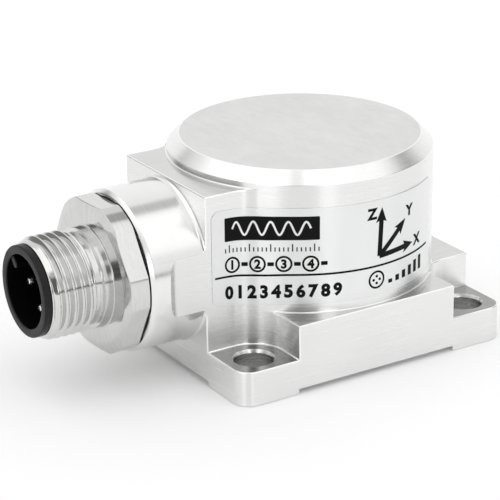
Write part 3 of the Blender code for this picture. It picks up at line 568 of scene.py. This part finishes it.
def make_shell():
    angles = []
    n = 240
    base = [360.0 * k / n for k in range(n)]
    edge = math.degrees(math.acos(FLAT / FLANGE_R))
    marks = [(TURN + 60 * k + s * edge) % 360 for k in range(6) for s in (-1, 1)]
    for a in base:
        if all(min(abs(a - m), 360 - abs(a - m)) > 0.6 for m in marks):
            angles.append(a)
    angles = sorted(angles + marks)
    count = len(angles)

    def outer(a):
        d = (a - TURN + 30.0) % 60.0 - 30.0
        return min(FLANGE_R, FLAT / math.cos(math.radians(d)))

    rows = []                                    # each row: function of the angle -> (x, radius)

    def ring(x, r):
        rows.append(lambda a: (x, r))

    bore = 4.95
    for x, r in rounded_profile([(-23.3, bore, 0), (SHELL_FRONT, bore, 0.08), (SHELL_FRONT, 5.36, 0.06),
                                 (SHELL_FRONT + 0.12, 5.44, 0.0)], segments=3):
        ring(x, r)
    start, stop = SHELL_FRONT + 0.15, -29.95
    steps = [0.0, 0.035, 0.06, 0.08, 0.11, 0.17, 0.24, 0.31, 0.37, 0.40, 0.43, 0.46]
    steps += [0.5] + [1.0 - t for t in steps[:0:-1]]
    first = math.floor((start + 34.5) / PITCH + THREAD_PHASE / 360.0) - 1
    for turn in range(first, first + int((stop - start) / PITCH) + 4):
        for t in steps:

            def row(a, t=t + turn):              # follows the helix at a fixed place on the thread's profile
                x = max(start, min(stop, (t + (a - THREAD_PHASE) / 360.0) * PITCH - 34.5))
                h = thread_height((x + 34.5) / PITCH - (a - THREAD_PHASE) / 360.0)
                fade = max(0.0, min(1.0, (-30.35 - x) / 0.5))      # the helix runs out into the groove
                r = THREAD_ROOT + (THREAD_R - THREAD_ROOT) * h * fade
                lead = 5.46 + (x - start) * (THREAD_R - 5.46) / 0.85
                return x, min(r, lead) if x < start + 0.85 else r
            rows.append(row)
    for x, r in rounded_profile([(-29.9, THREAD_ROOT, 0), (-29.62, THREAD_ROOT, 0.08), (-29.55, 5.84, 0.08),
                                 (FLANGE_FRONT - 0.04, 5.84, 0.1), (FLANGE_FRONT, 6.02, 0.1),
                                 (FLANGE_FRONT, FLANGE_FACE_R - 0.1, 0.0)], segments=4):
        ring(x, r)

    def cone(a, r):
        return FLANGE_FRONT + max(0.0, r - FLANGE_FACE_R) * 0.29

    ring(FLANGE_FRONT, FLANGE_FACE_R - 0.03)
    ring(FLANGE_FRONT + 0.012, FLANGE_FACE_R + 0.05)
    e = 0.05
    rows.append(lambda a: (cone(a, outer(a) - e), outer(a) - e))
    rows.append(lambda a: (cone(a, outer(a) - e) + 0.9 * e, outer(a)))
    back = 0.08
    rows.append(lambda a: (FLANGE_BACK - back, outer(a)))
    rows.append(lambda a: (FLANGE_BACK, outer(a) - back))
    ring(FLANGE_BACK, 8.2)
    for x, r in rounded_profile([(FLANGE_BACK, 7.2, 0.0), (-17.5, 7.2, 0.1), (-17.2, 6.9, 0.1), (-17.2, 5.6, 0.1),
                                 (-23.3, 5.6, 0.0)], segments=2):
        ring(x, r)

    turns = angles + [angles[0] + 360.0]
    verts, faces = [], []
    for fn in rows:
        for a in turns:
            x, r = fn(a)
            verts.append((x, r * math.cos(math.radians(a)), CONN_Z + r * math.sin(math.radians(a))))
    nr, width = len(rows), len(turns)
    for i in range(nr):
        j = (i + 1) % nr
        for k in range(count):
            faces.append([i * width + k, j * width + k, j * width + k + 1, i * width + k + 1])
    me = new_mesh("connector_shell_body", verts, faces)
    bm = bmesh.new()
    bm.from_mesh(me)
    bmesh.ops.remove_doubles(bm, verts=bm.verts, dist=1e-5)
    bmesh.ops.dissolve_degenerate(bm, edges=bm.edges, dist=1e-5)
    bm.to_mesh(me)
    bm.free()
    return fix_normals(me)


THREAD_PHASE = 90.0
shell_mesh = make_shell()
slots = []
for f in shell_mesh.polygons:
    c, out = f.center, math.hypot(f.center.y, f.center.z - CONN_Z)
    slots.append(1 if -29.7 < c.x < FLANGE_FRONT + 0.36 and out > 5.8 and (abs(f.normal.x) > 0.8 or out < 6.1) else 0)
shell = finish_piece("connector_shell_body", shell_mesh, [M_NICKEL, M_FACE], angle=24.0, weighted=False)
shell_mesh.polygons.foreach_set("material_index", slots)
bm = bmesh.new()
bm.from_mesh(shell.data)
for e in bm.edges:                               # the flange's sides meet in crisp lines
    if all(v.co.x > (FLANGE_FRONT - 0.02 + AXIS_X) * MM and math.hypot(v.co.y, v.co.z - CONN_Z * MM) > 7.85 * MM
           for v in e.verts) and e.calc_face_angle(0.0) > math.radians(9.0):
        e.smooth = False
bm.to_mesh(shell.data)
bm.free()
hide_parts("connector_shell")

# ------------------------------------------------------------------ seal, insert and pins
seal = finish_piece("connector_seal_ring", lathe("seal", rounded_profile([
    (7.45, 25.68, 0), (8.72, 25.68, 0.1), (8.72, 25.28, 0.02), (7.45, 25.28, 0)], segments=4), 180, closed=True,
    along_x=True, centre=(0, 0, CONN_Z)), M_RUBBER)
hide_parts("connector_seal")

INSERT_FRONT, SOCKET_FLOOR, INSERT_BACK = -36.74, -27.7, -23.7
KEY_ANGLE = 48.0


def make_insert():
    me = lathe("insert", rounded_profile([
        (0.0, -SOCKET_FLOOR, 0), (4.27, -SOCKET_FLOOR, 0.2), (4.27, -INSERT_FRONT, 0.14), (5.28, -INSERT_FRONT, 0.14),
        (5.28, 35.91, 0.05), (4.87, 35.91, 0.03), (4.87, -INSERT_BACK, 0.1), (0.0, -INSERT_BACK, 0)], segments=4),
        144, start=0.7, along_x=True, centre=(0, 0, CONN_Z))
    rib = [(4.6, -0.4), (4.6, 0.4)] + arc(2.9 + 0.4, 0.0, 0.4, 90, 270, 14)
    rib = prism("rib", rib, INSERT_FRONT + 0.2, SOCKET_FLOOR + 0.5)
    rib = bevel(rib, lambda e: e.is_convex and e.calc_face_angle(0) > 1.0
                and all(v.co.z < INSERT_FRONT + 0.3 for v in e.verts), 0.1, 3)
    rib.transform(Matrix(((0, 0, 1, 0), (1, 0, 0, 0), (0, 1, 0, 0), (0, 0, 0, 1))))
    rib.transform(Matrix.Rotation(math.radians(KEY_ANGLE), 4, "X"))
    rib.transform(Matrix.Translation((0, 0, CONN_Z)))
    ways = []
    for a in (0.0, 90.0, 180.0, 270.0):
        y, z = 2.5 * math.cos(math.radians(a)), CONN_Z + 2.5 * math.sin(math.radians(a))
        ways.append(("DIFFERENCE", lathe("way", [(0.0, 28.7), (0.68, 28.7), (0.68, 27.78), (0.58, 27.62), (0.58, 22.7), (0.0, 22.7)],
                                         40, start=2.1, along_x=True, centre=(0, y, z))))
    return combine(me, [("UNION", rib)] + ways)


insert_mesh = make_insert()
# the faces inside the socket take the near-black copy of the plastic: painted shade
inside = [int(f.center.x > INSERT_FRONT + 0.6 and math.hypot(f.center.y, f.center.z - CONN_Z) < 4.3)
          for f in insert_mesh.polygons]
insert = finish_piece("connector_insert_body", insert_mesh, [M_PLASTIC, M_SHADED_BORE], angle=32.0)
insert_mesh.polygons.foreach_set("material_index", inside)
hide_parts("connector_insert")

for i, a in enumerate((0.0, 90.0, 180.0, 270.0), 1):
    y, z = 2.5 * math.cos(math.radians(a)), CONN_Z + 2.5 * math.sin(math.radians(a))
    pin = finish_piece(f"contact_pin_{i}_turned", lathe("pin", rounded_profile([
        (0.0, 34.9, 0), (0.36, 34.9, 0.14), (0.5, 34.48, 0.3), (0.5, 23.45, 0.03), (0.75, 23.45, 0.08),
        (0.75, 21.2, 0.05), (0.48, 21.2, 0.03), (0.48, 22.9, 0.0), (0.0, 22.9, 0)], segments=5), 40, along_x=True,
        centre=(0, y, z)), M_PIN, weighted=False)
    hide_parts(f"contact_pin_{i}")

# ------------------------------------------------------------------ label
ARC_LEN = POCKET_R * math.radians(90.0 - TANGENT)
PLANE_LEN = -LABEL_LEFT - POCKET_CX
CYL_START = 180.0 + TANGENT
LABEL_LEN = PLANE_LEN + ARC_LEN + BODY_R * math.radians(LABEL_END_ANGLE - CYL_START)


def on_wall(u, z, off):
    """The point at distance u along the label from its left edge, off outside the housing's wall.

    The film was laid on taut, so it dips a little where it crosses the hollow."""
    z -= math.exp(-((u - 5.2) / 2.7) ** 2) * (0.34 + 0.02 * (13.0 - z)) - 0.2 * max(0.0, 1.0 - u / 2.0) * (13.0 - z) / 3.5 \
        * (1.0 if z < 13.0 else 0.0)
    if u < PLANE_LEN:
        return LABEL_LEFT + u, -ARM - off, z
    if u < PLANE_LEN + ARC_LEN:
        a = math.radians(90.0) - (u - PLANE_LEN) / POCKET_R
        return -POCKET_CX + (POCKET_R - off) * math.cos(a), -POCKET_CY + (POCKET_R - off) * math.sin(a), z
    a = math.radians(CYL_START) + (u - PLANE_LEN - ARC_LEN) / BODY_R
    return (BODY_R + off) * math.cos(a), (BODY_R + off) * math.sin(a), z


def u_angle(angle):
    """Distance along the label of a direction seen from the body's axis, in degrees from +X."""
    return PLANE_LEN + ARC_LEN + BODY_R * math.radians(angle % 360.0 - CYL_START)


def u_plane(x):
    return x - LABEL_LEFT


def make_label():
    inner, outer, soft = 0.02, 0.075, 0.02
    stations = sorted({round(LABEL_LEN * i / 220, 5) for i in range(221)}
                      | {round(LABEL_CORNER * (1 - math.cos(math.radians(a))), 5) for a in range(0, 91, 9)}
                      | {round(LABEL_LEN - LABEL_CORNER * (1 - math.cos(math.radians(a))), 5) for a in range(0, 91, 9)})
    verts, cols = [], []
    for u in stations:
        d = min(u, LABEL_LEN - u)
        drop = 0.0 if d >= LABEL_CORNER else LABEL_CORNER - math.sqrt(max(0.0, LABEL_CORNER ** 2 - (LABEL_CORNER - d) ** 2))
        low, high = LABEL_LOW + drop, LABEL_HIGH - drop
        section = [(low, inner), (low, outer - soft), (low + soft, outer), (high - soft, outer), (high, outer - soft),
                   (high, inner)]
        shrink = 0.0
        cols.append(range(len(verts), len(verts) + len(section)))
        verts += [on_wall(min(max(u, shrink), LABEL_LEN - shrink), z, off) for z, off in section]
    faces = []
    for a, b in zip(cols, cols[1:]):
        for k in range(6):
            l = (k + 1) % 6
            faces.append([a[k], b[k], b[l], a[l]])
    faces += [list(cols[0])[::-1], list(cols[-1])]
    return fix_normals(new_mesh("label", verts, faces))


label = finish_piece("label_film_sheet", make_label(), M_FILM, angle=30.0)
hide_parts("label")

INK_LOW, INK_HIGH = 0.07, 0.088


def wrap(me, name, material=M_INK):
    """A flat drawing in (distance along the label, height) put on the label as a thin layer of ink."""
    bm = bmesh.new()
    bm.from_mesh(me)
    # cut into upright strips so that the layer follows the curved wall
    lo = min(v.co.x for v in bm.verts)
    hi = max(v.co.x for v in bm.verts)
    n = int((hi - lo) / 0.35)
    for k in range(1, n + 1):
        x = lo + (hi - lo) * k / (n + 1)
        bmesh.ops.bisect_plane(bm, geom=bm.verts[:] + bm.edges[:] + bm.faces[:], plane_co=(x, 0, 0),
                               plane_no=(1, 0, 0), dist=1e-6)
    flat = bm.faces[:]
    for f in flat:
        f.normal_update()
        if f.normal.z < 0:
            f.normal_flip()
    out = bmesh.ops.extrude_face_region(bm, geom=flat)
    top = [g for g in out["geom"] if isinstance(g, bmesh.types.BMVert)]
    high = set(top)
    for v in bm.verts:
        off = INK_HIGH if v in high else INK_LOW
        v.co = Vector(on_wall(v.co.x, v.co.y, off))
    bmesh.ops.recalc_face_normals(bm, faces=bm.faces)
    bm.to_mesh(me)
    bm.free()
    return finish_piece(name, me, material, angle=50.0)


def drawing(name, loops):
    """A flat filled mesh from closed loops of (u, z); a loop inside another is a hole."""
    curve = bpy.data.curves.new(name, "CURVE")
    curve.dimensions = "2D"
    curve.fill_mode = "BOTH"
    for loop in loops:
        sp = curve.splines.new("POLY")
        sp.points.add(len(loop) - 1)
        for p, (x, y) in zip(sp.points, loop):
            p.co = (x, y, 0.0, 1.0)
        sp.use_cyclic_u = True
    return evaluated(curve, name)


def evaluated(data, name):
    obj = bpy.data.objects.new(name, data)
    bpy.context.scene.collection.objects.link(obj)
    bpy.context.view_layer.update()
    me = bpy.data.meshes.new_from_object(obj.evaluated_get(bpy.context.evaluated_depsgraph_get()))
    bpy.data.objects.remove(obj)
    bpy.data.curves.remove(data)
    bm = bmesh.new()
    bm.from_mesh(me)
    bmesh.ops.remove_doubles(bm, verts=bm.verts, dist=1e-4)
    bmesh.ops.dissolve_degenerate(bm, edges=bm.edges, dist=1e-4)
    bm.to_mesh(me)
    bm.free()
    return me


def lettering(name, text, u, z, height, weight=0.0, stretch=1.0, lean=0.0):
    """Plain figures centred at (u, z)."""
    curve = bpy.data.curves.new(name, "FONT")
    curve.body = text
    curve.size = 1.0
    curve.offset = weight
    curve.resolution_u = 4
    me = evaluated(curve, name)
    xs = [v.co.x for v in me.vertices]
    ys = [v.co.y for v in me.vertices]
    k = height / (max(ys) - min(ys))
    cx, cy = (max(xs) + min(xs)) / 2, (max(ys) + min(ys)) / 2
    for v in me.vertices:
        x, y = (v.co.x - cx) * k * stretch, (v.co.y - cy) * k
        v.co = (u + x + lean * y, z + y, 0.0)
    return me


def bar(u0, z0, u1, z1, r):
    """A rounded bar as a loop."""
    r = min(r, (z1 - z0) / 2, (u1 - u0) / 2)
    return arc(u0 + r, z0 + r, r, 180, 270, 5) + arc(u1 - r, z0 + r, r, 270, 360, 5) \
        + arc(u1 - r, z1 - r, r, 0, 90, 5) + arc(u0 + r, z1 - r, r, 90, 180, 5)


def stroke(points, width):
    """An open line of the given width with square ends, mitred at its turns."""
    pts = [Vector(p) for p in points]
    side = []
    for i, p in enumerate(pts):
        dirs = []
        if i:
            dirs.append((p - pts[i - 1]).normalized())
        if i < len(pts) - 1:
            dirs.append((pts[i + 1] - p).normalized())
        ns = [Vector((-d.y, d.x)) for d in dirs]
        m = sum(ns, Vector((0.0, 0.0))).normalized()
        side.append(m * (width / 2 / max(0.35, m.dot(ns[0]))))
    return [tuple(p + s) for p, s in zip(pts, side)] + [tuple(p - s) for p, s in reversed(list(zip(pts, side)))]


def arrow(base, tip, width, head, head_width):
    b, t = Vector(base), Vector(tip)
    d = (t - b).normalized()
    n = Vector((-d.y, d.x))
    neck = t - d * head
    return [tuple(b + n * width / 2), tuple(neck + n * width / 2), tuple(neck - d * head * 0.12 + n * head_width / 2),
            tuple(t), tuple(neck - d * head * 0.12 - n * head_width / 2), tuple(neck - n * width / 2),
            tuple(b - n * width / 2)]


# axis mark
ORIGIN = (u_angle(271.5), 14.17)
for axis, tip, at, text in (("z", (u_angle(272.6), 20.0), (u_angle(267.7), 19.4), "Z"),
                            ("y", (u_angle(286.3), 17.75), (u_angle(288.9), 18.55), "Y"),
                            ("x", (u_angle(291.6), 14.4), (u_angle(295.1), 14.5), "X")):
    wrap(drawing(f"axis_{axis}", [arrow(ORIGIN, tip, 0.62, 1.6, 1.5)]), f"label_axis_arrow_{axis}")
    wrap(lettering(f"axis_{text}", text, at[0], at[1], 1.38, weight=0.045), f"label_axis_letter_{text}")

# rule across the label
wrap(drawing("rule", [bar(0.35, 12.89, u_angle(305.5), 13.13, 0.05)]), "label_rule")

# dark band with a plain wave cut out of it
u0, u1 = u_plane(-15.95), u_angle(244.7)
wave = [(u0 + 1.0 + (u1 - u0 - 2.0) * i / 96, 18.6 + 0.78 * math.sin(2 * math.pi * 4.5 * i / 96)) for i in range(97)]
wrap(drawing("band", [bar(u0, 17.2, u1, 20.0, 0.12), stroke(wave, 0.24)]), "label_band")

# fine scale under the band
for i in range(23):
    u = u0 + 0.1 + (u1 - u0 - 0.2) * i / 22
    wrap(drawing(f"tick_{i}", [bar(u - 0.07, 15.85, u + 0.07, 16.75 if i % 5 == 1 else 16.35, 0.02)]),
         f"label_scale_tick_{i + 1:02d}")

# the four contacts: a ring with its number, and a bar
def ring_loops(u, z, outer, inner, n=40):
    return [arc(u, z, outer, 0, 360 - 360 / n, n - 1), arc(u, z, inner, 0, 360 - 360 / n, n - 1)]


for i in range(4):
    u = u0 + 0.95 + i * 3.02
    wrap(drawing(f"ring_{i}", ring_loops(u, 14.35, 0.98, 0.74)), f"label_contact_ring_{i + 1}")
    wrap(lettering(f"contact_{i}", str(i + 1), u, 14.35, 1.14, weight=0.045), f"label_contact_number_{i + 1}")
    wrap(drawing(f"bar_{i}", [bar(u + 1.15, 14.12, u + 1.9, 14.58, 0.05)]), f"label_contact_bar_{i + 1}")

# plain figures of a scale, and the face of the connector
for i in range(10):
    wrap(lettering(f"figure_{i}", str(i), u0 + 0.5 + i * 1.4, 11.05, 1.62, weight=0.05), f"label_scale_figure_{i}")
u = u_angle(270.2)
wrap(drawing("face_ring", ring_loops(u, 11.35, 1.1, 0.86)), "label_connector_ring")
for i, (a, b) in enumerate(((0.42, 0.0), (0.0, 0.42), (-0.42, 0.0), (0.0, -0.42)), 1):
    wrap(drawing(f"face_dot_{i}", [arc(u + a, 11.35 + b, 0.17, 0, 345, 23)]), f"label_connector_dot_{i}")
for i in range(6):
    u = u_angle(277.5) + i * 1.12
    wrap(drawing(f"level_{i}", [bar(u - 0.3, 10.5, u + 0.3, 10.5 + 0.45 + 0.26 * i, 0.04)]), f"label_level_{i + 1}")

# ------------------------------------------------------------------ carried-over solids
CARRIED = {
    "bottom_cover": M_COVER, "cover_gasket": M_RUBBER, "circuit_board": M_BOARD, "accelerometer": M_CHIP,
    "microcontroller": M_CHIP, "line_transceiver": M_CHIP, "voltage_regulator": M_CHIP, "power_inductor": M_CHIP,
    "surge_diode": M_CHIP, "capacitor_1": M_CERAMIC, "capacitor_2": M_CERAMIC, "capacitor_3": M_CERAMIC,
    "board_header": M_HEADER, "wire_plug": M_HEADER,
    "cover_screw_1": M_STEEL, "cover_screw_2": M_STEEL, "cover_screw_3": M_STEEL, "cover_screw_4": M_STEEL,
    "board_screw_1": M_STEEL, "board_screw_2": M_STEEL, "board_screw_3": M_STEEL,
}
for i, (name, a, b) in enumerate((("brown", (0.12, 0.05, 0.02), (0.2, 0.09, 0.04)),
                                  ("white", (0.72, 0.72, 0.7), (0.84, 0.84, 0.82)),
                                  ("blue", (0.02, 0.08, 0.38), (0.04, 0.13, 0.5)),
                                  ("black", (0.012, 0.012, 0.012), (0.03, 0.03, 0.03))), 1):
    CARRIED[f"lead_wire_{i}"] = plain(f"wire_{name}", a, b, 0.4, 0.55)
for name, mat in CARRIED.items():
    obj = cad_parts[name]
    obj = bpy.data.objects[obj] if isinstance(obj, str) else obj
    for s in range(max(1, len(obj.data.materials))):
        if len(obj.data.materials):
            obj.data.materials[s] = mat
        else:
            obj.data.materials.append(mat)

# ------------------------------------------------------------------ floor, light and camera
floor_mat = plain("studio_floor", (0.955, 0.955, 0.955), (0.965, 0.965, 0.965), 0.6, 0.7, scale=40.0, bump=0.0)
floor_mat.node_tree.nodes["Principled BSDF"].inputs["Specular IOR Level"].default_value = 0.0
floor_mat.node_tree.nodes["Principled BSDF"].inputs["Emission Strength"].default_value = 0.05
floor = bpy.data.objects.new("studio_floor", new_mesh("studio_floor", [(-2, -2, 0), (2, -2, 0), (2, 2, 0), (-2, 2, 0)],
                                                      [[0, 1, 2, 3]]))
bpy.context.scene.collection.objects.link(floor)
floor.location = (0, 0, -0.00002)
floor.data.materials.append(floor_mat)

bpy.context.scene.view_settings.view_transform = "Standard"
world = bpy.data.worlds.new("studio")
bpy.context.scene.world = world
world.use_nodes = True


def studio_sky(tree):
    """A white room: pale all round, with large soft panels and a darker gap where the camera stands."""
    def node(kind, **values):
        n = tree.nodes.new(kind)
        for k, v in values.items():
            setattr(n, k, v)
        return n

    def calc(op, *args):
        n = node("ShaderNodeMath", operation=op)
        for i, v in enumerate(args):
            if isinstance(v, (int, float)):
                n.inputs[i].default_value = v
            else:
                tree.links.new(v, n.inputs[i])
        return n.outputs[0]

    def smooth(value, lo, hi):
        n = node("ShaderNodeMapRange", interpolation_type="SMOOTHSTEP")
        n.inputs["From Min"].default_value = lo
        n.inputs["From Max"].default_value = hi
        tree.links.new(value, n.inputs["Value"])
        return n.outputs["Result"]

    tc = node("ShaderNodeTexCoord")
    sep = node("ShaderNodeSeparateXYZ")
    tree.links.new(tc.outputs["Generated"], sep.inputs[0])
    x, y, z = sep.outputs
    flat = calc("MAXIMUM", calc("SQRT", calc("ADD", calc("MULTIPLY", x, x), calc("MULTIPLY", y, y))), 1e-4)
    rise = calc("MULTIPLY", calc("ARCSINE", z), 57.29578)
    level = None
    for azimuth, half, soft, low, high, fade, value in PANELS:
        a = math.radians(azimuth)
        turn = calc("DIVIDE", calc("ADD", calc("MULTIPLY", x, math.cos(a)), calc("MULTIPLY", y, math.sin(a))), flat)
        angle = calc("MULTIPLY", calc("ARCCOSINE", calc("MINIMUM", calc("MAXIMUM", turn, -1.0), 1.0)), 57.29578)
        w = calc("SUBTRACT", 1.0, smooth(angle, half - soft, half + soft)) if half < 180 else None
        for edge in (smooth(rise, low - fade, low + fade),
                     calc("SUBTRACT", 1.0, smooth(rise, high - fade, high + fade))):
            w = edge if w is None else calc("MULTIPLY", w, edge)
        if level is None:
            level = value
        level = calc("ADD", calc("MULTIPLY", calc("SUBTRACT", 1.0, w), level), calc("MULTIPLY", w, value))
    bg = tree.nodes["Background"]
    bg.inputs["Color"].default_value = (1.0, 1.0, 1.0, 1.0)
    tree.links.new(level, bg.inputs["Strength"])


# direction from +X towards +Y, half width, softness, lower and upper elevation, softness (degrees), brightness
PANELS = (
    (0, 180, 1, -90, 90, 1, 0.95),           # the room
    (228, 112, 8, 38, 95, 6, 1.40),          # panel overhead, in front
    (329, 34, 6, 26, 66, 5, 1.22),           # panel at the front right
    (58, 34, 8, -2, 46, 6, 1.02),            # wall at the back right
    (22, 13, 4, 50, 67, 3, 0.50),            # gap between the panels
    (146, 42, 6, 0, 25, 6, 0.25),            # gap at the back left
    (238, 15, 4, -5, 36, 6, 0.15),           # gap round the camera
    (236, 9, 3, 36, 72, 5, 0.55),
    (260, 7, 2, 1, 17, 5, 2.9),              # narrow panel right of the camera
    (210, 8, 2, 1, 17, 5, 2.3),              # narrow panel left of the camera
    (345, 20, 8, 0, 38, 5, 0.32),            # gap at the far right
    (290, 60, 12, 0, 4.5, 1.5, 0.30),        # edge of the table
)

studio_sky(world.node_tree)


az, el, roll = map(math.radians, (32.135, 21.468, -0.612))
d = Vector((-math.sin(az) * math.cos(el), -math.cos(az) * math.cos(el), math.sin(el)))
target = Vector((-7.037 + AXIS_X, 0.0, 11.371)) * MM
fwd = -d
right = fwd.cross(Vector((0, 0, 1))).normalized()
up = right.cross(fwd)
r2 = right * math.cos(roll) + up * math.sin(roll)
u2 = -right * math.sin(roll) + up * math.cos(roll)
cam_data = bpy.data.cameras.new("camera")
cam = bpy.data.objects.new("camera", cam_data)
bpy.context.scene.collection.objects.link(cam)
m = Matrix((r2, u2, -fwd)).transposed().to_4x4()
m.translation = target + d * 0.257144
cam.matrix_world = m
cam_data.sensor_width = 36.0
cam_data.lens = 2183.451 / 500.0 * 36.0
cam_data.clip_start = 0.01
cam_data.clip_end = 10.0
bpy.context.scene.camera = cam
